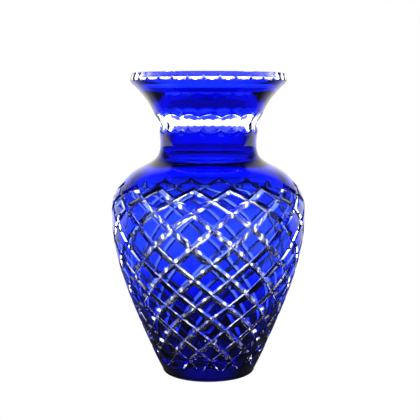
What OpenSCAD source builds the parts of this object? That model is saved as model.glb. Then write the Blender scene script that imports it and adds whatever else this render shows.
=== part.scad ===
// Cut crystal vase: a clear crystal body under a thin cobalt-blue casing.
// Mitre cuts divide the casing of the belly into rows of diamond pads, flutes clear the neck,
// and flat facets clear the rim. Each piece of blue casing that the cutting leaves is its own node.
// The origin is the centre of the foot, on the table, and +Z is up.

/* [Vase] */
// Height from the table to the polished rim
vase_h = 300; // [285:5:315]
// Radius of the wall just above the foot
foot_r = 44.5; // [42:0.5:47]
// Radius of the belly at its widest
belly_r = 96.3; // [92:0.1:100]
// Radius of the neck at its narrowest
neck_r = 47.9; // [46:0.1:50]
// Radius of the upright band at the rim
lip_r = 77.2; // [75:0.1:79]

/* [Glass] */
// Thickness of the whole wall, casing included
wall = 8; // [7:0.5:9]
// Thickness of the clear base under the bowl
base_thick = 22; // [18:1:26]
// Thickness of the blue casing
casing = 0.6; // [0.4:0.1:0.6]

/* [Diamond cutting] */
// Diamonds in one row around the belly
around = 16; // [12:1:20]
// Width of a mitre cut at the surface
cut_w = 6.4; // [5.6:0.2:7]
// Depth of a mitre cut, through the casing and into the clear body
cut_depth = 2.7; // [2.4:0.1:3]
// Turn of the diamonds and flutes about the vase's axis
turn = 2.4; // [0:0.1:22]

/* [Neck and rim cutting] */
// Height of the lower end of the neck flutes
flute_bottom = 237; // [234:1:239]
// Height at which a flute is deepest
flute_waist = 249; // [247:1:251]
// Height of the upper end of the neck flutes
flute_top = 264; // [262:1:266]
// Flat facets around the rim
facets = 32; // [30:1:36]
// Depth of the facets halfway up the rim's band
facet_depth = 0.95; // [0.9:0.05:1.2]
// Depth of the bevel above the facets, at the top of the rim
bevel_depth = 2; // [1.8:0.1:2.2]

/* [Foot] */
// Radius of the rounding where the wall meets the table
foot_edge = 4; // [3:0.5:5]
// Radius of the shallow hollow under the foot
hollow_r = 31; // [28:1:33]
// Depth of the hollow under the foot
hollow_depth = 1.5; // [1:0.5:2.5]

/* [Hidden] */
// Heights of the rows where the mitre cuts cross, marked up the wall from the lowest
rows = [22, 33, 44.5, 56.5, 69, 81, 94, 109, 124, 140, 157, 171.5, 183, 192];
pad_rows = len(rows) - 2;          // rows of whole diamonds between the lowest and highest crossings
step = 360 / around;               // turn from one diamond to the next
low_joint = 12;                    // height where the turned foot takes over from the cut belly
high_joint = 197;                  // height where the cut belly gives way to the turned shoulder
ledge = 0.3;                       // the faceted belly stays this far inside the turned parts it joins
band_z = vase_h - 9;               // height of the corner below the upright band of the rim
band_slope = 1.15;                 // slope of the flare where it meets the band
facet_z = band_z + 1.65;           // height where the facets run out into the band
bevel_z = vase_h - 5;              // height where the facets turn into the bevel
bore_z = vase_h * 0.77;            // height above which the bore no longer follows the outside
chamfer = 0.7;                     // ground inner edge of the rim
arris = 0.4;                       // ground outer edge of the rim
bevel_run = 0.6;                   // clear line that the foot's rounding leaves under the casing
far = 130;                         // past the widest part of the vase
fine = 2.5;                        // height of one step along a turned profile
body_colour = [0.86, 0.90, 0.97, 0.45];
casing_colour = [0.07, 0.05, 0.85];

// Outer profile: height, radius and slope at the stations a turner would check with callipers
stations = [
    [0, foot_r, 0.56],
    [vase_h * 0.133, foot_r + 0.36 * (belly_r - foot_r), 0.43],
    [vase_h * 0.533, belly_r, 0],
    [vase_h * 0.633, neck_r + 0.82 * (belly_r - neck_r), -0.85],
    [vase_h * 0.697, neck_r + 0.345 * (belly_r - neck_r), -2.2],
    [vase_h * 0.735, neck_r + 0.037 * (belly_r - neck_r), -0.4],
    [bore_z, neck_r, 0],
    [vase_h * 0.873, neck_r + 0.226 * (lip_r - neck_r), 0.4],
    [band_z, lip_r, band_slope]
];

// Bore of the neck and the flare: height, radius and slope
neck_bore = [
    [bore_z, neck_r - wall, 0],
    [vase_h * 0.82, neck_r - wall, 0.02],
    [vase_h * 0.857, neck_r - wall + 2.8, 0.48],
    [vase_h * 0.92, neck_r - wall + 13.8, 0.72],
    [band_z, lip_r - wall, 0]
];

// Inner line of a neck flute, along the middle of the panel: height, radius and slope
flute_line = [
    [flute_bottom, neck_r + 1.7, -0.35],
    [flute_waist, neck_r, 0],
    [flute_top, neck_r + 7.9, 0.62]
];

// Line of a rim facet and of the bevel above it, along the middle of the facet: radius and height
facet_line = [
    [lip_r + 0.08, facet_z - 0.9],
    [lip_r - facet_depth + 0.07, facet_z],
    [lip_r - facet_depth, bevel_z],
    [lip_r - bevel_depth, vase_h - arris],
    [lip_r - bevel_depth - arris, vase_h],
    [lip_r - bevel_depth - arris, vase_h + 1]
];

// ---------- functions ----------

// Smooth curve through a table of [z, value, slope]
function span(t, z, i = 0) = i >= len(t) - 2 || z < t[i + 1][0] ? i : span(t, z, i + 1);
function smooth(t, z) =
    let (i = span(t, z), a = t[i], b = t[i + 1], h = b[0] - a[0], s = (z - a[0]) / h)
    (2 * s ^ 3 - 3 * s ^ 2 + 1) * a[1] + (s ^ 3 - 2 * s ^ 2 + s) * h * a[2]
    + (3 * s ^ 2 - 2 * s ^ 3) * b[1] + (s ^ 3 - s ^ 2) * h * b[2];

// Outer radius of the uncut wall at a height, and its slope
function profile(z) = smooth(stations, max(z, 0));
function slope(z) = (profile(z + 0.05) - profile(z - 0.05)) / 0.1;

// Radius at a depth below the outer surface, measured square to the wall
function under(z, depth) = profile(z) - depth * sqrt(1 + slope(z) ^ 2);

// Corner between the flare and the rim's band at a depth: radius and height
function band_corner(depth) =
    [lip_r - depth, band_z + depth * (sqrt(1 + band_slope ^ 2) - 1) / band_slope];

// Height of a place between the rows of crossings: a Catmull-Rom curve through the rows
function row_at(i) =
    i < 0 ? 2 * rows[0] - rows[-i]
    : i >= len(rows) ? 2 * rows[len(rows) - 1] - rows[2 * len(rows) - 2 - i]
    : rows[i];
function row_z(r) =
    let (i = floor(r), s = r - i, a = row_at(i), b = row_at(i + 1),
         ma = (b - row_at(i - 1)) / 2, mb = (row_at(i + 2) - a) / 2)
    (2 * s ^ 3 - 3 * s ^ 2 + 1) * a + (s ^ 3 - 2 * s ^ 2 + s) * ma
    + (3 * s ^ 2 - 2 * s ^ 3) * b + (s ^ 3 - s ^ 2) * mb;

// Half width of a mitre cut at a depth, as a share of the side of a diamond in row j
function diamond_pitch(j) =
    let (half_w = profile(rows[j]) * PI / around, half_h = (rows[j + 1] - rows[j - 1]) / 2)
    2 * half_w * half_h / norm([half_w, half_h]);
function cut_share(j, depth) = cut_w / 2 / diamond_pitch(j) * (1 - depth / cut_depth);

// Coordinates are snapped, so that neighbouring faces share their corners exactly
function snap(p) = [for (c = p) round(c * 1000) / 1000];
function ring_point(angle, z, depth, inset = 0) =
    let (r = under(z, depth) - inset) snap([r * sin(angle), -r * cos(angle), z]);

// Point on diamond k of row j: u and v run from 0 to 1 along the two mitre cuts
function column(k, j) = turn + step * (k + (j % 2 == 0 ? 0.5 : 0));
function lattice(k, j, u, v, depth) =
    ring_point(column(k, j) + step / 2 * (u + v - 1), row_z(j + u - v), depth);

// Quarter turns of u and v carry one corner of a diamond to the next
function corner(s, p, q) = s == 0 ? [p, q] : s == 1 ? [1 - q, p] : s == 2 ? [1 - p, 1 - q] : [q, 1 - p];
function diamond_quad(k, j, s, points) =
    [for (p = reversed(points)) let (c = corner(s, p[0], p[1])) lattice(k, j, c[0], c[1], p[2])];

// Faces of one diamond of the clear body: half of each bounding cut, and the raised middle
function body_diamond(k, j) =
    let (a = cut_share(j, casing), t = casing, d = cut_depth)
    [for (s = [0:3]) each [
        diamond_quad(k, j, s, [[0, 0, d], [a, a, t], [0.5, a, t], [0.5, 0, d]]),
        diamond_quad(k, j, s, [[0.5, 0, d], [0.5, a, t], [1 - a, a, t], [1, 0, d]]),
        diamond_quad(k, j, s, [[a, a, t], [a, 0.5, t], [0.5, 0.5, t], [0.5, a, t]])]];

// Faces of one blue pad: its polished top, its underside and its mitred edges
function pad_diamond(k, j) =
    let (a = cut_share(j, casing), b = cut_share(j, 0), t = casing)
    [for (s = [0:3]) each [
        diamond_quad(k, j, s, [[b, b, 0], [b, 0.5, 0], [0.5, 0.5, 0], [0.5, b, 0]]),
        diamond_quad(k, j, s, [[a, a, t], [0.5, a, t], [0.5, 0.5, t], [a, 0.5, t]]),
        diamond_quad(k, j, s, [[a, a, t], [b, b, 0], [0.5, b, 0], [0.5, a, t]]),
        diamond_quad(k, j, s, [[0.5, a, t], [0.5, b, 0], [1 - b, b, 0], [1 - a, a, t]])]];

// The zigzag that borders the diamonds, moved outward by a share of a cut (up = 1 above, -1 below)
function zigzag(up, share, depth) =
    let (j = up > 0 ? pad_rows : 1, e = share)
    [for (k = [0:around - 1], p = up > 0 ? [[e, -e], [0.5, -e], [1 + e, -e], [1 + e, 0.5]]
                                         : [[-e, e], [-e, 0.5], [-e, 1 + e], [0.5, 1 + e]])
        lattice(k, j, p[0], p[1], depth)];
// A ring of points at one height, over or under the zigzag, where the belly meets a turned part
function level(up, share, z, depth) =
    let (j = up > 0 ? pad_rows : 1)
    [for (k = [0:around - 1], m = [0, 0.5 - share, 1, 1.5 + share])
        ring_point(column(k, j) + step / 2 * (m - 1), z, depth, ledge)];
// Faces between two rings of points, the second one above the first when seen from outside
function strip(low, high) =
    let (n = len(low))
    [for (i = [0:n - 1]) [low[i], high[i], high[(i + 1) % n], low[(i + 1) % n]]];
function reversed(ring) = [for (i = [len(ring) - 1:-1:0]) ring[i]];

// ---------- builders ----------

// Closed solid from a list of faces, each face a list of its own corner points
module faces_solid(faces) {
    starts = [for (i = 0, n = 0; i < len(faces); n = n + len(faces[i]), i = i + 1) n];
    polyhedron(
        points = [for (f = faces) each f],
        faces = [for (i = [0:len(faces) - 1]) each
            len(faces[i]) == 4
                ? [[starts[i], starts[i] + 1, starts[i] + 2], [starts[i], starts[i] + 2, starts[i] + 3]]
                : [[for (m = [0:len(faces[i]) - 1]) starts[i] + m]]]);
}

// Outline of a turned wall between two heights and two depths
function heights(z0, z1) = let (n = ceil((z1 - z0) / fine)) [for (i = [0:n]) z0 + (z1 - z0) * i / n];
module turned_shell(z0, z1, outside, inside) {
    rotate_extrude($fn = 96)
        polygon(concat([for (z = heights(z0, z1)) [under(z, outside), z]],
                       [for (z = reversed(heights(z0, z1))) [under(z, inside), z]]));
}

// Wheels that grind flat panels around the vase: straight prisms whose inner line is given
module wheels(count, line, width) {
    for (k = [0:count - 1]) rotate([90, 0, turn + 360 / count * k - 90])
        linear_extrude(width, center = true)
            polygon(concat(line, [[far, line[len(line) - 1][1]], [far, line[0][1]]]));
}

// Flat-panel flutes of the neck
module neck_flutes() {
    wheels(around, [for (z = heights(flute_bottom, flute_top)) [smooth(flute_line, z), z]],
           2 * (neck_r + 10) * tan(step / 2));
}

// Flat facets of the rim
module rim_facets() {
    wheels(facets, facet_line, 2 * lip_r * tan(180 / facets));
}

// Clear body of the belly, with the mitre cuts in its surface, solid to the axis
module cut_belly() {
    top = pad_rows;
    at = cut_share(top, casing);
    ab = cut_share(1, casing);
    ring_top = level(1, at, high_joint, casing);
    ring_low = level(-1, ab, low_joint, casing);
    faces_solid(concat(
        [for (j = [1:pad_rows], k = [0:around - 1]) each body_diamond(k, j)],
        strip(zigzag(1, 0, cut_depth), zigzag(1, at, casing)),
        strip(zigzag(1, at, casing), ring_top),
        strip(zigzag(-1, ab, casing), zigzag(-1, 0, cut_depth)),
        strip(ring_low, zigzag(-1, ab, casing)),
        [reversed(ring_top)],
        [ring_low]));
}

// Wedge of blue casing between the zigzag of the top row or bottom row and a level joint
module zigzag_casing(up, z) {
    j = up > 0 ? pad_rows : 1;
    a = cut_share(j, casing);
    b = cut_share(j, 0);
    outer_zig = zigzag(up, b, 0);
    inner_zig = zigzag(up, a, casing);
    outer_ring = level(up, b, z, 0);
    inner_ring = level(up, a, z, casing);
    faces_solid(up > 0
        ? concat(strip(outer_zig, outer_ring), strip(inner_zig, outer_zig),
                 strip(inner_ring, inner_zig), strip(outer_ring, inner_ring))
        : concat(strip(outer_ring, outer_zig), strip(outer_zig, inner_zig),
                 strip(inner_zig, inner_ring), strip(inner_ring, outer_ring)));
}

// Foot profile: a quarter round from the table up into the wall
function foot_round(depth) =
    [for (i = [0:4]) let (q = 90 * i / 4, z = foot_edge * (1 - cos(q)))
        [under(foot_edge, depth) - foot_edge * (1 - sin(q)), z]];

// ---------- pieces ----------

// Clear crystal: base, wall, neck and rim in one piece
module crystal_body() {
    color(body_colour) difference() {
        union() {
            rotate_extrude($fn = 96)
                polygon(concat([[0, 0]], foot_round(casing),
                               [for (z = heights(foot_edge, low_joint)) [under(z, casing), z]],
                               [[0, low_joint]]));
            cut_belly();
            difference() {
                rotate_extrude($fn = 96)
                    polygon(concat([[0, high_joint]],
                                   [for (z = heights(high_joint, band_z)) [under(z, casing), z]],
                                   [band_corner(casing), [lip_r - casing, vase_h], [0, vase_h]]));
                neck_flutes();
                rim_facets();
            }
        }
        bowl();
        cylinder(r = hollow_r, h = 2 * hollow_depth, center = true, $fn = 96);
    }
}

// Inside of the vase, from the round floor of the bowl out through the mouth
module bowl() {
    floor_z = base_thick + 6;
    floor_r = under(floor_z, wall);
    rotate_extrude($fn = 96)
        polygon(concat([[0, base_thick]],
                       [for (i = [1:5]) let (q = 90 * i / 6)
                           [floor_r * sin(q), floor_z - (floor_z - base_thick) * cos(q)]],
                       [for (z = heights(floor_z, bore_z)) [under(z, wall), z]],
                       [for (z = heights(bore_z + fine, band_z)) [smooth(neck_bore, z), z]],
                       [[lip_r - wall, vase_h - chamfer],
                        [lip_r - wall + chamfer, vase_h], [lip_r - wall + chamfer, vase_h + 1],
                        [0, vase_h + 1]]));
}

// Blue casing of the flare, from the flutes up to the facets of the rim
module rim_casing() {
    color(casing_colour) difference() {
        rotate_extrude($fn = 96)
            polygon(concat([for (z = heights(flute_waist, band_z)) [under(z, 0), z]],
                           [[lip_r, bevel_z + 1], [lip_r - casing, bevel_z + 1], band_corner(casing)],
                           [for (z = reversed(heights(flute_waist, band_z))) [under(z, casing), z]]));
        neck_flutes();
        rim_facets();
    }
}

// Blue casing of the neck and shoulder, from the flutes down to the top row of diamonds
module shoulder_casing() {
    color(casing_colour) {
        difference() {
            turned_shell(high_joint, flute_waist, 0, casing);
            neck_flutes();
        }
        zigzag_casing(1, high_joint);
    }
}

// One row of separate blue diamond pads
module diamond_row(j) {
    color(casing_colour) for (k = [0:around - 1]) faces_solid(pad_diamond(k, j));
}

// Blue casing of the foot, from the bottom row of diamonds to the rounded edge
module foot_casing() {
    color(casing_colour) {
        rotate_extrude($fn = 96)
            polygon(concat([for (p = foot_round(0)) if (p[1] > bevel_run) p],
                           [for (z = heights(foot_edge, low_joint)) [under(z, 0), z]],
                           [for (z = reversed(heights(foot_edge, low_joint))) [under(z, casing), z]],
                           [for (p = reversed(foot_round(casing))) if (p[1] > bevel_run) p]));
        zigzag_casing(-1, low_joint);
    }
}

crystal_body();
rim_casing();
shoulder_casing();
for (j = [1:pad_rows])
    diamond_row(j);
foot_casing();
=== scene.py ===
"""Cut crystal vase: clear crystal cased in cobalt blue, cut with diamonds, flutes and facets.

Every surface is worked out from the same driving dimensions and formulas as the CAD model, in
millimetres, at a finer step. Blender's objects are in metres in the same frame.
"""

import math

import bpy
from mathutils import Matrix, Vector


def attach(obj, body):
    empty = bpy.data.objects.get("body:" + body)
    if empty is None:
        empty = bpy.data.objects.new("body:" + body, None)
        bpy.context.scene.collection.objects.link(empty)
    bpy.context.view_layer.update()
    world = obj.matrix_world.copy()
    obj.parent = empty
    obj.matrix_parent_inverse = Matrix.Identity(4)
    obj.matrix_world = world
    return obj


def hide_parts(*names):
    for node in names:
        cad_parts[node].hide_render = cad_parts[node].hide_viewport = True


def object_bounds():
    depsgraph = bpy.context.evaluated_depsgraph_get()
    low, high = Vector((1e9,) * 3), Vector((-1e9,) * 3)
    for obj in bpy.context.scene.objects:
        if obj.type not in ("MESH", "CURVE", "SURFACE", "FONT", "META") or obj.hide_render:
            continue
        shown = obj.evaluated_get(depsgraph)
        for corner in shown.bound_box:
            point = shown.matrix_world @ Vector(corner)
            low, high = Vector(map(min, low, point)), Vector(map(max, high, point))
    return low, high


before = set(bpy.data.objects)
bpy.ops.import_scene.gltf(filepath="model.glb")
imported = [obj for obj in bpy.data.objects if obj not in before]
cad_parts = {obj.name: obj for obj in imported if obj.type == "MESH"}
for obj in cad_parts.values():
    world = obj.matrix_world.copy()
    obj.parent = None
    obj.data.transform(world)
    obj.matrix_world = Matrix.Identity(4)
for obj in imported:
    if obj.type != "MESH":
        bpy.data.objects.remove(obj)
cad_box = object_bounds()

MM = 0.001

# ---------- driving dimensions, in millimetres ----------

VASE_H = cad_box[1][2] / MM
FOOT_R, BELLY_R, NECK_R, LIP_R = 44.5, 96.3, 47.9, 77.2
WALL, BASE_THICK, FLOOR_RISE, CASING = 8.0, 22.0, 6.0, 0.6
AROUND = 16                     # diamonds in a row, and flutes around the neck
CUT_W, CUT_DEPTH = 6.4, 2.7     # a mitre cut's width at the surface, and its depth
TURN = 2.4                      # degrees that the diamonds are turned about the axis
FLUTE_BOTTOM, FLUTE_WAIST, FLUTE_TOP = 237.0, 249.0, 264.0
FLUTE_MIDDLE = FLUTE_WAIST + 1.5        # height at which every flute lies below the casing
FACETS = 32                     # flat facets around the rim
FACET_DEPTH, BEVEL_DEPTH = 0.95, 2.0    # of a facet, and of the bevel above it at the top of the rim
FOOT_EDGE = 4.0                 # radius of the rounding where the wall meets the table
HOLLOW_R, HOLLOW_DEPTH = 31.0, 1.5      # of the hollow under the foot
HOLLOW_ROUND = (1.0, 0.5)       # run and rise of the bevel inside the hollow
ROWS = [22, 33, 44.5, 56.5, 69, 81, 94, 109, 124, 140, 157, 171.5, 183, 192]

PAD_ROWS = len(ROWS) - 2
STEP = 360 / AROUND
BAND_Z = VASE_H - 9
BAND_SLOPE = 1.15               # slope of the flare where it meets the rim's band
FACET_Z = BAND_Z + 1.65         # height where the facets run out into the band
BEVEL_Z = VASE_H - 5            # height where the facets turn into the bevel
BORE_Z = VASE_H * 0.77          # height above which the bore no longer follows the outside
CHAMFER, ARRIS = 0.7, 0.4       # inner and outer edges of the rim's flat top
BARE_FOOT = 0.3                 # height of the clear line between the table and the casing
SEAM_GAP = 0.03                 # between casing and body, so that neither face hides the other
BED = CASING + SEAM_GAP         # depth of the clear body's surface under a casing
RUN_OUT = 0.95                  # share of a diamond's side over which the lowest cuts would run out
THIN_CUT = 1.1                  # a cut ends where it is only this many times as deep as the casing
TOP_EDGES = ("top_left", "top_right")
LOW_EDGES = ("low_left", "low_right")

# Steps of the mesh: along a diamond's side, around the vase, and up its plain stretches
EDGE_STEPS = 10
HALVINGS = 24                   # halvings that find where two surfaces cross
COLUMNS = 2 * AROUND * EDGE_STEPS
FOOT_STEPS, BARE_STEPS, FOOT_WALL_STEPS = 8, 3, 6
SHOULDER_STEPS, FLUTE_STEPS, FLARE_STEPS, FACET_STEPS = 26, 14, 16, 18
CASING_EDGE_STEPS = 3
INSIDE_STEPS, BOWL_FLOOR_STEPS = 64, 12

# Places of the three materials on every piece
POLISHED, CUT, SEAM = 0, 1, 2

# Outer profile: height, radius and slope at the stations a turner would check with callipers
STATIONS = [
    (0, FOOT_R, 0.56),
    (VASE_H * 0.133, FOOT_R + 0.36 * (BELLY_R - FOOT_R), 0.43),
    (VASE_H * 0.533, BELLY_R, 0),
    (VASE_H * 0.633, NECK_R + 0.82 * (BELLY_R - NECK_R), -0.85),
    (VASE_H * 0.697, NECK_R + 0.345 * (BELLY_R - NECK_R), -2.2),
    (VASE_H * 0.735, NECK_R + 0.037 * (BELLY_R - NECK_R), -0.4),
    (BORE_Z, NECK_R, 0),
    (VASE_H * 0.873, NECK_R + 0.226 * (LIP_R - NECK_R), 0.4),
    (BAND_Z, LIP_R, BAND_SLOPE),
]
# Bore of the neck and the flare: height, radius and slope
NECK_BORE = [
    (BORE_Z, NECK_R - WALL, 0),
    (VASE_H * 0.82, NECK_R - WALL, 0.02),
    (VASE_H * 0.857, NECK_R - WALL + 2.8, 0.48),
    (VASE_H * 0.92, NECK_R - WALL + 13.8, 0.72),
    (BAND_Z, LIP_R - WALL, 0),
]
# Middle of a neck flute: height, radius and slope
FLUTE_LINE = [
    (FLUTE_BOTTOM, NECK_R + 1.7, -0.35),
    (FLUTE_WAIST, NECK_R, 0),
    (FLUTE_TOP, NECK_R + 7.9, 0.62),
]
# Middle of a rim facet and of the bevel above it: height, radius and slope
FACET_LINE = [
    (FACET_Z - 0.9, LIP_R + 0.08, -1),
    (FACET_Z, LIP_R - FACET_DEPTH + 0.07, -0.026),
    (BEVEL_Z, LIP_R - FACET_DEPTH, -0.026),
    (BEVEL_Z + 0.8, LIP_R - FACET_DEPTH - 0.12, -0.23),
    (VASE_H - ARRIS, LIP_R - BEVEL_DEPTH, -0.23),
]


# ---------- the vase's surface ----------

def smooth(table, z):
    """Smooth curve through rows of (z, value, slope)."""
    i = 0
    while i < len(table) - 2 and z >= table[i + 1][0]:
        i += 1
    (za, a, ma), (zb, b, mb) = table[i], table[i + 1]
    h = zb - za
    s = (z - za) / h
    return ((2 * s**3 - 3 * s**2 + 1) * a + (s**3 - 2 * s**2 + s) * h * ma
            + (3 * s**2 - 2 * s**3) * b + (s**3 - s**2) * h * mb)


def wall(z):
    """Outer radius of the uncut wall. The flare's curve runs on past the corner of the rim's band."""
    return smooth(STATIONS, max(z, 0))


def under(z, depth):
    """Radius at a depth below the uncut surface, square to the wall. The rim's band is upright."""
    slope = (wall(z + 0.05) - wall(z - 0.05)) / 0.1
    r = wall(z) - depth * math.hypot(1, slope)
    return r if z < FLUTE_TOP else min(r, LIP_R - depth)


def row_at(i):
    """Height of a row of crossings. Past either end the rows are mirrored."""
    if i < 0:
        return 2 * ROWS[0] - ROWS[-i]
    if i >= len(ROWS):
        return 2 * ROWS[-1] - ROWS[2 * len(ROWS) - 2 - i]
    return ROWS[i]


def row_z(r):
    """Height of a place between the rows where the cuts cross: a Catmull-Rom curve through the rows."""
    i = math.floor(r)
    s = r - i
    a, b = row_at(i), row_at(i + 1)
    ma, mb = (b - row_at(i - 1)) / 2, (row_at(i + 2) - a) / 2
    return ((2 * s**3 - 3 * s**2 + 1) * a + (s**3 - 2 * s**2 + s) * ma
            + (3 * s**2 - 2 * s**3) * b + (s**3 - s**2) * mb)


def polar(angle, r, z):
    """A point at an angle from the front, in metres."""
    a = math.radians(angle)
    return (r * math.sin(a) * MM, -r * math.cos(a) * MM, z * MM)


def column_angle(k, j):
    """Angle of the middle of diamond k of row j."""
    return TURN + STEP * (k + (0.5 if j % 2 == 0 else 0))


def lattice(k, j, u, v, depth):
    """Point on diamond k of row j: u and v run from 0 to 1 along the two cuts."""
    z = row_z(j + u - v)
    return polar(column_angle(k, j) + STEP / 2 * (u + v - 1), under(z, depth), z)


def cut_share(j):
    """Half the width of a cut as a share of the side of a diamond in row j."""
    half_w = wall(row_at(j)) * math.pi / AROUND
    half_h = (row_at(j + 1) - row_at(j - 1)) / 2
    return CUT_W / 2 * math.hypot(half_w, half_h) / (2 * half_w * half_h)


# ---------- mesh building ----------

class Shell:
    """A mesh under construction. Points that coincide are merged, so that strips join up."""

    def __init__(self):
        self.points, self.index, self.faces, self.slots = [], {}, [], []

    def at(self, p):
        key = (round(p[0] * 1e7), round(p[1] * 1e7), round(p[2] * 1e7))
        if key not in self.index:
            self.index[key] = len(self.points)
            self.points.append(p)
        return self.index[key]

    def face(self, corners, slot):
        ids = []
        for p in corners:
            i = self.at(p)
            if i not in ids:
                ids.append(i)
        if len(ids) > 2:
            self.faces.append(ids)
            self.slots.append(slot)

    def sheet(self, low, high, slot, ring=False, inside=False):
        """Faces between two lines of points, the second one above the first when seen from outside."""
        n = len(low)
        for i in range(n if ring else n - 1):
            a, b = i, (i + 1) % n
            corners = [low[a], low[b], high[b], high[a]]
            self.face(corners[::-1] if inside else corners, slot)

    def stack(self, lines, slot, ring=False, inside=False):
        for low, high in zip(lines, lines[1:]):
            self.sheet(low, high, slot, ring, inside)

    def piece(self, name, materials, sharp_deg=24):
        mesh = bpy.data.meshes.new(name)
        mesh.from_pydata(self.points, [], self.faces)
        for m in materials:
            mesh.materials.append(m)
        mesh.polygons.foreach_set("material_index", self.slots)
        mesh.polygons.foreach_set("use_smooth", [True] * len(self.faces))
        mesh.set_sharp_from_angle(angle=math.radians(sharp_deg))
        mesh.update()
        mesh.validate()
        obj = bpy.data.objects.new(name, mesh)
        bpy.context.collection.objects.link(obj)
        return obj


def shares(j, edge, depth):
    """Half widths of the cut along one edge of a diamond at a depth, each with the cut's own depth.

    The cuts below the lowest crossing run out. Past their ends the depth is None."""
    full = cut_share(j)
    out = []
    for i in range(EDGE_STEPS + 1):
        t = i / EDGE_STEPS
        left = 1
        if j == 0 and edge in LOW_EDGES:
            left -= (t if edge == "low_left" else 1 - t) / RUN_OUT
        open_here = CUT_DEPTH * left > CASING * THIN_CUT
        out.append((full * (left - depth / CUT_DEPTH), CUT_DEPTH * left) if open_here else (0, None))
    return out


def diamond_grid(k, j, depth):
    """Grid of points over a diamond at a depth, inside the cuts that bound it."""
    top_left = shares(j, "top_left", depth)
    top_right = shares(j, "top_right", depth)
    low_left = shares(j, "low_left", depth)
    low_right = shares(j, "low_right", depth)
    grid = []
    for b in range(EDGE_STEPS + 1):
        q = b / EDGE_STEPS
        line = []
        for a in range(EDGE_STEPS + 1):
            p = a / EDGE_STEPS
            u0, u1 = low_left[b][0], 1 - top_right[b][0]
            v0, v1 = top_left[a][0], 1 - low_right[a][0]
            line.append(lattice(k, j, u0 + (u1 - u0) * p, v0 + (v1 - v0) * q, depth))
        grid.append(line)
    return grid


def grid_edges(grid):
    """The four edges of a diamond's grid."""
    return {
        "top_left": grid[0],
        "top_right": [line[-1] for line in grid],
        "low_left": [line[0] for line in grid],
        "low_right": grid[-1],
    }


def edge_place(edge, t, s=0):
    """Place on an edge of a diamond at a share t of its length, moved out past it by a share s."""
    return {"top_left": (t + s, -s), "top_right": (1 + s, t - s),
            "low_left": (-s, t + s), "low_right": (t - s, 1 + s)}[edge]


def valley_edges(k, j):
    """The bottoms of the four cuts around a diamond."""
    return {edge: [lattice(k, j, *edge_place(edge, i / EDGE_STEPS), BED if deep is None else deep)
                   for i, (_, deep) in enumerate(shares(j, edge, 0))]
            for edge in TOP_EDGES + LOW_EDGES}


def edge_walls(shell, inner, outer, j, slot):
    """Walls between a line nearer the diamond's middle and a line nearer the cut, on all four sides."""
    for edge in TOP_EDGES + LOW_EDGES:
        low, high = (inner[edge], outer[edge]) if edge in TOP_EDGES else (outer[edge], inner[edge])
        closed = [deep is None for _, deep in shares(j, edge, 0)]
        for i in range(EDGE_STEPS):
            if not (closed[i] and closed[i + 1]):
                shell.sheet(low[i:i + 2], high[i:i + 2], slot)


def border(up, depth):
    """The far edge of the zigzag cut above the top row, or below the lowest one. None is its bottom."""
    j, edges = (PAD_ROWS, TOP_EDGES) if up else (0, LOW_EDGES)
    line = []
    for k in range(AROUND):
        for edge in edges:
            for i, (share, deep) in enumerate(shares(j, edge, depth or 0)[:-1]):
                place = edge_place(edge, i / EDGE_STEPS, 0 if depth is None else share)
                at = (BED if deep is None else deep) if depth is None else depth
                line.append(lattice(k, j, *place, at))
    return line


# ---------- flutes of the neck and facets of the rim ----------

def column_turn(i):
    """Angle of a column of points. Column 0 runs through the left corner of a diamond."""
    return TURN + STEP / 2 * i / EDGE_STEPS


def off_centre(angle, count):
    """Angle from the middle of the nearest of `count` cuts around the vase."""
    each = 360 / count
    return (angle - TURN + each / 2) % each - each / 2


def flute_radius(angle, z):
    """Radius of the flat-bottomed flute over this angle."""
    return smooth(FLUTE_LINE, z) / math.cos(math.radians(off_centre(angle, AROUND)))


def crossing(gap, low, high):
    """Height between low and high at which gap changes sign."""
    sign = gap(low) > 0
    for _ in range(HALVINGS):
        mid = (low + high) / 2
        if (gap(mid) > 0) == sign:
            low = mid
        else:
            high = mid
    return (low + high) / 2


def flute_end(angle, depth, upper):
    """Height at which the flute's floor comes up through the surface at this depth."""
    far_end = FLUTE_TOP if upper else FLUTE_BOTTOM
    return crossing(lambda z: flute_radius(angle, z) - under(z, depth), FLUTE_MIDDLE, far_end)


def facet_radius(angle, z):
    """Radius of the flat facet of the rim over this angle."""
    return smooth(FACET_LINE, z) / math.cos(math.radians(off_centre(angle, FACETS)))


def facet_end(angle, depth):
    """Height at which the facet comes down through the surface at this depth."""
    lowest, highest = FACET_LINE[0][0], FACET_LINE[-1][0]
    return crossing(lambda z: facet_radius(angle, z) - under(z, depth), lowest, highest)


ANGLES = [column_turn(i) for i in range(COLUMNS)]


# ---------- lines of points around the vase ----------

def ring(radius, height):
    """A line of points right round the vase. Both arguments are numbers, or functions of the angle."""
    line = []
    for angle in ANGLES:
        z = height(angle) if callable(height) else height
        r = radius(angle, z) if callable(radius) else radius
        line.append(polar(angle, r, z))
    return line


def rings(radius, start, end, steps):
    """Rings at even steps between two heights, each a number or a function of the angle."""
    def at(value, angle):
        return value(angle) if callable(value) else value
    return [ring(radius, lambda a, s=i / steps: at(start, a) + (at(end, a) - at(start, a)) * s)
            for i in range(steps + 1)]


def between(low, high, depth, steps):
    """Rings on the surface at a depth, between two lines of points that lie on it."""
    lines = [low]
    for n in range(1, steps):
        s = n / steps
        line = []
        for angle, p, q in zip(ANGLES, low, high):
            z = (p[2] + (q[2] - p[2]) * s) / MM
            line.append(polar(angle, under(z, depth), z))
        lines.append(line)
    return lines + [high]


def at_depth(depth):
    return lambda angle, z: under(z, depth)


def flute_curve(depth, upper):
    """Where the flutes meet the surface at a depth."""
    return ring(at_depth(depth), lambda angle: flute_end(angle, depth, upper))


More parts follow.
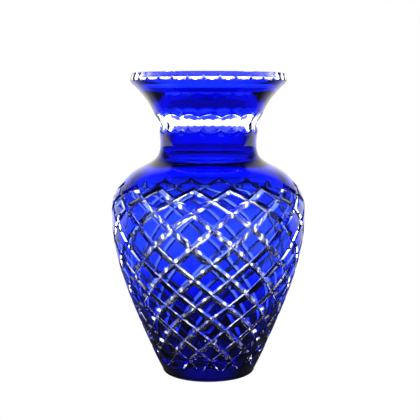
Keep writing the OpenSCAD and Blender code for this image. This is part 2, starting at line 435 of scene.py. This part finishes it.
def foot_rings(depth, lowest=0.0):
    """The rounded edge of the foot, from the table up into the wall."""
    edge_r = under(FOOT_EDGE, depth)
    lines = []
    for i in range(FOOT_STEPS + 1):
        q = math.pi / 2 * i / FOOT_STEPS
        z = FOOT_EDGE * (1 - math.cos(q))
        if z >= lowest:
            lines.append(ring(edge_r - FOOT_EDGE * (1 - math.sin(q)), z))
    return lines


def rim_corner(depth):
    """The corner between the flare and the rim's band, or the start of the facet where that is lower."""
    lift = depth * (math.hypot(1, BAND_SLOPE) - 1) / BAND_SLOPE
    return ring(at_depth(depth), lambda a: min(BAND_Z + lift, facet_end(a, depth)))


def facet_curve(depth):
    """Where the facets of the rim meet the surface at a depth."""
    return ring(at_depth(depth), lambda a: facet_end(a, depth))


def bowl_radius(z):
    """Radius of the inside. It follows the outside up to the neck, and then opens into the rim."""
    return under(z, WALL) if z <= BORE_Z else smooth(NECK_BORE, min(z, BAND_Z))


# ---------- pieces ----------

def crystal_body(materials):
    """The clear body. Its faces under a casing are seams, through which light passes straight."""
    shell = Shell()
    add_body_diamonds(shell)
    foot = foot_rings(BED)
    add_body_foot(shell, foot)
    low_border = border(False, BED)
    shell.stack(between(foot[-1], low_border, BED, FOOT_WALL_STEPS), SEAM, ring=True)
    shell.sheet(low_border, border(False, None), CUT, ring=True)
    rim_edge = add_body_neck(shell)
    top = [rim_edge, ring(lambda a, z: facet_radius(a, z) - ARRIS, VASE_H),
           ring(LIP_R - WALL + CHAMFER, VASE_H), ring(LIP_R - WALL, VASE_H - CHAMFER)]
    shell.stack(top, POLISHED, ring=True)
    add_body_inside(shell, top[-1])
    return shell.piece("vase_crystal_body", materials)


def add_body_diamonds(shell):
    """The raised middles of the diamonds, and the cuts between them."""
    for j in range(PAD_ROWS + 1):
        for k in range(AROUND):
            grid = diamond_grid(k, j, BED)
            shell.stack(grid[::-1], SEAM)
            edge_walls(shell, grid_edges(grid), valley_edges(k, j), j, CUT)


def add_body_foot(shell, foot):
    """The hollow underside, and the foot's rounding, which is bare next to the table."""
    run, rise = HOLLOW_ROUND
    underside = [ring(0, HOLLOW_DEPTH), ring(HOLLOW_R - run, HOLLOW_DEPTH),
                 ring(HOLLOW_R, HOLLOW_DEPTH - rise), ring(HOLLOW_R, BARE_FOOT),
                 ring(HOLLOW_R + BARE_FOOT, 0), foot[0]]
    shell.stack(underside, POLISHED, ring=True)
    shell.stack(foot[:BARE_STEPS + 1], POLISHED, ring=True)
    shell.stack(foot[BARE_STEPS:], SEAM, ring=True)


def add_body_neck(shell):
    """From the zigzag above the diamonds up to the outer edge of the rim, which it returns."""
    top_border = border(True, BED)
    shell.sheet(border(True, None), top_border, CUT, ring=True)
    flute_low, flute_high = flute_curve(BED, False), flute_curve(BED, True)
    shell.stack(between(top_border, flute_low, BED, SHOULDER_STEPS), SEAM, ring=True)
    panels = rings(flute_radius, lambda a: flute_end(a, BED, False), lambda a: flute_end(a, BED, True),
                   FLUTE_STEPS)
    shell.stack([flute_low] + panels[1:-1] + [flute_high], CUT, ring=True)
    facet_low = facet_curve(BED)
    shell.stack(between(flute_high, rim_corner(BED), BED, FLARE_STEPS) + [facet_low], SEAM, ring=True)
    panels = rings(facet_radius, lambda a: facet_end(a, BED), VASE_H - ARRIS, FACET_STEPS)
    shell.stack([facet_low] + panels[1:], CUT, ring=True)
    return panels[-1]


def add_body_inside(shell, mouth):
    """The inside, from the mouth down the wall and round the floor of the bowl."""
    floor_z = BASE_THICK + FLOOR_RISE
    floor_r = under(floor_z, WALL)
    inside = [mouth]
    for i in range(1, INSIDE_STEPS + 1):
        z = VASE_H - CHAMFER + (floor_z - VASE_H + CHAMFER) * i / INSIDE_STEPS
        inside.append(ring(bowl_radius(z), z))
    for i in range(1, BOWL_FLOOR_STEPS + 1):
        q = math.pi / 2 * (1 - i / BOWL_FLOOR_STEPS)
        inside.append(ring(floor_r * math.sin(q), floor_z - FLOOR_RISE * math.cos(q)))
    shell.stack(inside, POLISHED, ring=True)


def diamond_row(j, materials):
    """One row of separate blue pads."""
    shell = Shell()
    for k in range(AROUND):
        add_pad(shell, k, j)
    return shell.piece(f"vase_diamond_row_{j}", materials)


def add_pad(shell, k, j):
    """A blue pad, with a polished top, mitred edges and an underside."""
    top, bed = diamond_grid(k, j, 0), diamond_grid(k, j, CASING)
    shell.stack(top[::-1], POLISHED)
    shell.stack(bed, SEAM)
    edge_walls(shell, grid_edges(top), grid_edges(bed), j, CUT)


def foot_casing(materials):
    """The blue foot, with the half-cut diamonds between the run-outs of the lowest cuts."""
    shell = Shell()
    for k in range(AROUND):
        add_pad(shell, k, 0)
    outer, inner = border(False, 0), border(False, CASING)
    skin, lining = foot_rings(0, BARE_FOOT), foot_rings(CASING, BARE_FOOT)
    shell.stack([lining[0]] + skin, POLISHED, ring=True)
    shell.stack(between(skin[-1], outer, 0, FOOT_WALL_STEPS), POLISHED, ring=True)
    uncut = [deep is None for _ in range(AROUND) for edge in LOW_EDGES
             for _, deep in shares(0, edge, 0)[:-1]]
    for i in range(COLUMNS):
        n = (i + 1) % COLUMNS
        if not (uncut[i] and uncut[n]):
            shell.face([outer[i], outer[n], inner[n], inner[i]], CUT)
    shell.stack(between(inner, lining[-1], CASING, FOOT_WALL_STEPS) + lining[-2::-1], SEAM, ring=True)
    return shell.piece("vase_foot_casing", materials)


def shoulder_casing(materials):
    """The blue neck and shoulder, from the zigzag up to the flutes."""
    shell = Shell()
    outer, inner = border(True, 0), border(True, CASING)
    end_out, end_in = flute_curve(0, False), flute_curve(CASING, False)
    shell.stack(between(outer, end_out, 0, SHOULDER_STEPS), POLISHED, ring=True)
    edge = rings(flute_radius, lambda a: flute_end(a, 0, False), lambda a: flute_end(a, CASING, False),
                 CASING_EDGE_STEPS)
    shell.stack([end_out] + edge[1:-1] + [end_in], CUT, ring=True)
    shell.stack(between(end_in, inner, CASING, SHOULDER_STEPS), SEAM, ring=True)
    shell.sheet(inner, outer, CUT, ring=True)
    return shell.piece("vase_shoulder_casing", materials)


def rim_casing(materials):
    """The blue flare, which ends where the facets of the rim begin."""
    shell = Shell()
    start_out, start_in = flute_curve(0, True), flute_curve(CASING, True)
    end_out, end_in = facet_curve(0), facet_curve(CASING)
    shell.stack(between(start_out, end_out, 0, FLARE_STEPS), POLISHED, ring=True)
    edge = rings(facet_radius, lambda a: facet_end(a, 0), lambda a: facet_end(a, CASING),
                 CASING_EDGE_STEPS)
    shell.stack([end_out] + edge[1:-1] + [end_in], CUT, ring=True)
    shell.stack([end_in] + between(rim_corner(CASING), start_in, CASING, FLARE_STEPS), SEAM, ring=True)
    edge = rings(flute_radius, lambda a: flute_end(a, CASING, True), lambda a: flute_end(a, 0, True),
                 CASING_EDGE_STEPS)
    shell.stack([start_in] + edge[1:-1] + [start_out], CUT, ring=True)
    return shell.piece("vase_rim_casing", materials)


# ---------- shader helpers ----------

def add(nodes, kind, **values):
    """A new shader node with some of its sockets set by name."""
    node = nodes.new(kind)
    for name, value in values.items():
        node.inputs[name.replace("_", " ")].default_value = value
    return node


def math_node(nodes, links, operation, first, second=0):
    """The result of an operation on two values, each a number or a socket."""
    node = add(nodes, "ShaderNodeMath")
    node.operation = operation
    for value, socket in ((first, node.inputs[0]), (second, node.inputs[1])):
        if isinstance(value, (int, float)):
            socket.default_value = value
        else:
            links.new(value, socket)
    return node.outputs["Value"]


def remap(nodes, links, value, ends, results):
    """A value carried from one range to another, and held at both ends."""
    node = add(nodes, "ShaderNodeMapRange", From_Min=ends[0], From_Max=ends[1],
               To_Min=results[0], To_Max=results[1])
    links.new(value, node.inputs["Value"])
    return node.outputs["Result"]


def coordinates(nodes, links, kind):
    """The shaded place as a vector, and its X, Y and Z."""
    place = add(nodes, "ShaderNodeTexCoord").outputs[kind]
    parts = add(nodes, "ShaderNodeSeparateXYZ")
    links.new(place, parts.inputs["Vector"])
    return place, parts.outputs


def noise(nodes, links, scale, detail, stretch=(1, 1, 1)):
    """A noise pattern, `scale` swirls to the metre."""
    place = add(nodes, "ShaderNodeTexCoord")
    mapping = add(nodes, "ShaderNodeMapping", Scale=stretch)
    links.new(place.outputs["Object"], mapping.inputs["Vector"])
    node = add(nodes, "ShaderNodeTexNoise", Scale=scale, Detail=detail)
    links.new(mapping.outputs["Vector"], node.inputs["Vector"])
    return node.outputs["Fac"]


def new_material(name):
    material = bpy.data.materials.new(name)
    material.use_nodes = True
    nodes = material.node_tree.nodes
    nodes.clear()
    return material, nodes, material.node_tree.links


def finish(nodes, links, shader, kind="ShaderNodeOutputMaterial"):
    """Connect a shader's first output to the surface."""
    output = add(nodes, kind)
    links.new(shader.outputs[0], output.inputs["Surface"])


# ---------- materials ----------

IOR = 1.545
NOISE_MIDDLE = (0.3, 0.7)       # range that nearly all of a noise pattern lies in
POLISH = ((28, 0.00012), (90, 0.00002))     # waves of blown glass: swirls to the metre, height in metres
WHEEL = ((60, 0.00003), (420, 0.000006))    # and of faces that a cutting wheel has ground
POLISH_HAZE, WHEEL_HAZE = (0.0, 0.012), (0.06, 0.14)    # ranges of roughness
BLUE = (0.08, 0.14, 0.74)       # colour of light that has passed once through the casing of the belly
# Height, and how many times as deep the casing's tint is there as on the belly
TINT = [(0, 6.0), (18, 5.0), (50, 2.4), (85, 1.5), (120, 1.0), (188, 1.1), (220, 2.4)]
DEEPEST = max(times for _, times in TINT)
TINT_PATCHES = (0.9, 1.1)       # unevenness of the tint


def glass(name, colour, waves, haze):
    """Glass with gentle waves in its surface and faint smears. Light through it takes its colour."""
    material, nodes, links = new_material(name)
    shader = add(nodes, "ShaderNodeBsdfPrincipled", IOR=IOR)
    shader.inputs["Transmission Weight"].default_value = 1
    shader.inputs["Base Color"].default_value = (*colour, 1)
    normal = None
    for scale, height in waves:
        bump = add(nodes, "ShaderNodeBump", Strength=1, Distance=height)
        links.new(noise(nodes, links, scale, 2), bump.inputs["Height"])
        if normal:
            links.new(normal, bump.inputs["Normal"])
        normal = bump.outputs["Normal"]
    links.new(normal, shader.inputs["Normal"])
    smears = noise(nodes, links, 30, 4, (1, 1, 0.35))
    links.new(remap(nodes, links, smears, NOISE_MIDDLE, haze), shader.inputs["Roughness"])
    finish(nodes, links, shader)
    return material, nodes, links, shader


def crystal():
    return glass("clear_crystal", (0.985, 0.99, 1.0), POLISH, POLISH_HAZE)[0]


def wheel_cut():
    """Clear faces left by the cutting wheel: faint ripples that the acid polish didn't take away."""
    return glass("cut_crystal", (0.98, 0.985, 1.0), WHEEL, WHEEL_HAZE)[0]


def tint(nodes, links, power):
    """The casing's colour, raised to a power. It is palest on the belly and deep in neck and foot."""
    _, at = coordinates(nodes, links, "Object")
    height = remap(nodes, links, at["Z"], (0, VASE_H * MM), (0, 1))
    ramp = nodes.new("ShaderNodeValToRGB")
    links.new(height, ramp.inputs["Fac"])
    stops = ramp.color_ramp.elements
    while len(stops) < len(TINT):
        stops.new(0.5)
    for stop, (z, times) in zip(stops, TINT):
        stop.position = z / VASE_H
        stop.color = (times / DEEPEST, times / DEEPEST, times / DEEPEST, 1)
    uneven = remap(nodes, links, noise(nodes, links, 22, 3, (1, 1, 0.5)), NOISE_MIDDLE,
                   [share * DEEPEST for share in TINT_PATCHES])
    times = math_node(nodes, links, "MULTIPLY", ramp.outputs["Color"], uneven)
    colour = add(nodes, "ShaderNodeGamma", Color=(*BLUE, 1))
    links.new(math_node(nodes, links, "MULTIPLY", times, power), colour.inputs["Gamma"])
    return colour.outputs["Color"]


def cobalt():
    """The casing's polished outer face. Glass takes the square root of its colour at each face."""
    material, nodes, links, shader = glass("cobalt_casing", BLUE, POLISH, POLISH_HAZE)
    links.new(tint(nodes, links, 1), shader.inputs["Base Color"])
    return material


def seam(name, tinted):
    """Where casing and body are fused, light passes straight through. A tinted seam gives it the other
    half of the casing's colour."""
    material, nodes, links = new_material(name)
    shader = add(nodes, "ShaderNodeBsdfTransparent", Color=(1, 1, 1, 1))
    if tinted:
        links.new(tint(nodes, links, 0.5), shader.inputs["Color"])
    finish(nodes, links, shader)
    return material


def build_vase():
    cut = wheel_cut()
    clear = (crystal(), cut, seam("fused_crystal", False))
    blue = (cobalt(), cut, seam("fused_cobalt", True))
    pieces = [(crystal_body(clear), "crystal_body", "clear_crystal")]
    for node, build in (("rim_casing", rim_casing), ("shoulder_casing", shoulder_casing),
                        ("foot_casing", foot_casing)):
        pieces.append((build(blue), node, "cobalt_casing"))
    for j in range(1, PAD_ROWS + 1):
        pieces.append((diamond_row(j, blue), f"diamond_row_{j}", "cobalt_casing"))
    for piece, node, finish_name in pieces:
        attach(piece, "root")
        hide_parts(node)


# ---------- studio ----------
# Directions are parts of a unit vector and distances are metres. +Y points away from the camera.

CAMERA_AT = (0, -0.936, 0.2728)
CAMERA_AIM = (0.0016, 0, 0.1642)
LENS = 80.55                    # on a sensor 36 mm wide

# Seen through the glass
BACK_LIGHT = 4.4                # brightness of the studio behind the vase
SIDE_LIGHT = 0.25               # and at its sides
SIDES = (0.2, 0.5)              # sideways part of a direction, from full light to side light
CEILING = (0.36, 0.56)          # upward part of a direction, from full light to a dark ceiling
CEILING_SHARE = 0.02
CAMERA_SIDE = (-0.5, 0.5)       # from the camera's side, which is dimmer, to the far side
CAMERA_SHARE = 0.3
PAINTED_SHADOW_LIGHT = 0.02               # brightness of the floor around the foot: a painted shadow of the vase, seen through the glass
PAINTED_SHADOW_FADE = (0.2, 0.5)         # distance from the axis over which the painted shadow fades into the bright floor
FAR_FLOOR = (1.4, 1.8)          # and over which it dims again
FAR_SHARE = 0.45

# Mirrored by the glass
MIRRORED = (0.06, 1.2)          # brightness of the camera's side, and of the far side
MIRRORED_WORLD = (0.6, 0.95)    # where the one gives way to the other in the studio
MIRRORED_FLOOR = (0.2, 0.8)     # and on the floor

FLOOR_HALF = 30
FLOOR_GAP = 0.0005              # between the floor and the foot


def add_camera():
    data = bpy.data.cameras.new("camera")
    data.lens = LENS
    data.sensor_width = 36
    data.clip_start = 0.02
    camera = bpy.data.objects.new("camera", data)
    camera.location = CAMERA_AT
    aim = Vector(CAMERA_AIM) - Vector(CAMERA_AT)
    camera.rotation_euler = aim.to_track_quat("-Z", "Y").to_euler()
    bpy.context.collection.objects.link(camera)
    bpy.context.scene.camera = camera


def product(nodes, links, *factors):
    """The product of several sockets."""
    total = factors[0]
    for factor in factors[1:]:
        total = math_node(nodes, links, "MULTIPLY", total, factor)
    return total


def seen_strength(nodes, links, through, mirrored):
    """White to the camera, `through` to rays that come through the glass, and `mirrored` to reflections."""
    path = add(nodes, "ShaderNodeLightPath")
    direct, passed = path.outputs["Is Camera Ray"], path.outputs["Is Transmission Ray"]
    not_passed = math_node(nodes, links, "SUBTRACT", 1, passed)
    not_direct = math_node(nodes, links, "SUBTRACT", 1, direct)
    indirect = math_node(nodes, links, "ADD", product(nodes, links, through, passed),
                         product(nodes, links, mirrored, not_passed))
    return math_node(nodes, links, "ADD", product(nodes, links, indirect, not_direct), direct)


def add_world():
    """Bright behind the vase, dimmer at the sides and on the camera's side, with a dark ceiling.

    Rays that come through the glass and rays that it reflects each see their own brightness."""
    world = bpy.data.worlds.new("studio")
    bpy.context.scene.world = world
    world.use_nodes = True
    nodes, links = world.node_tree.nodes, world.node_tree.links
    nodes.clear()
    _, at = coordinates(nodes, links, "Generated")
    sideways = math_node(nodes, links, "ABSOLUTE", at["X"])
    through = product(nodes, links, remap(nodes, links, sideways, SIDES, (BACK_LIGHT, SIDE_LIGHT)),
                      remap(nodes, links, at["Z"], CEILING, (1, CEILING_SHARE)),
                      remap(nodes, links, at["Y"], CAMERA_SIDE, (CAMERA_SHARE, 1)))
    mirrored = remap(nodes, links, at["Y"], MIRRORED_WORLD, MIRRORED)
    background = add(nodes, "ShaderNodeBackground", Color=(1, 1, 1, 1))
    links.new(seen_strength(nodes, links, through, mirrored), background.inputs["Strength"])
    finish(nodes, links, background, "ShaderNodeOutputWorld")


def add_floor():
    """A plain white floor that glows. Seen through the glass, it is dim near the foot, where a shadow of
    the vase is painted into its glow, and bright further out.
    """
    mesh = bpy.data.meshes.new("floor")
    corners = [(-1, -1), (1, -1), (1, 1), (-1, 1)]
    mesh.from_pydata([(x * FLOOR_HALF, y * FLOOR_HALF, -FLOOR_GAP) for x, y in corners], [], [(0, 1, 2, 3)])
    floor = bpy.data.objects.new("floor", mesh)
    bpy.context.collection.objects.link(floor)
    material, nodes, links = new_material("white_floor")
    place, at = coordinates(nodes, links, "Object")
    length = add(nodes, "ShaderNodeVectorMath")
    length.operation = "LENGTH"
    links.new(place, length.inputs[0])
    distance = length.outputs["Value"]
    # painted shadow of the vase: the floor's glow is dimmed near the foot for rays that come through the
    # glass
    through = product(nodes, links, remap(nodes, links, distance, PAINTED_SHADOW_FADE, (PAINTED_SHADOW_LIGHT, BACK_LIGHT)),
                      remap(nodes, links, distance, FAR_FLOOR, (1, FAR_SHARE)),
                      remap(nodes, links, at["Y"], CAMERA_SIDE, (CAMERA_SHARE, 1)))
    mirrored = remap(nodes, links, at["Y"], MIRRORED_FLOOR, MIRRORED)
    light = add(nodes, "ShaderNodeEmission", Color=(1, 1, 1, 1))
    links.new(seen_strength(nodes, links, through, mirrored), light.inputs["Strength"])
    finish(nodes, links, light)
    mesh.materials.append(material)


def set_light_paths():
    """Enough bounces for light to pass through both walls of cut and cased glass."""
    scene = bpy.context.scene
    scene.view_settings.view_transform = "Standard"
    scene.cycles.max_bounces = 40
    scene.cycles.transmission_bounces = 40
    scene.cycles.glossy_bounces = 12
    scene.cycles.transparent_max_bounces = 96


build_vase()
add_camera()
add_world()
add_floor()
set_light_paths()
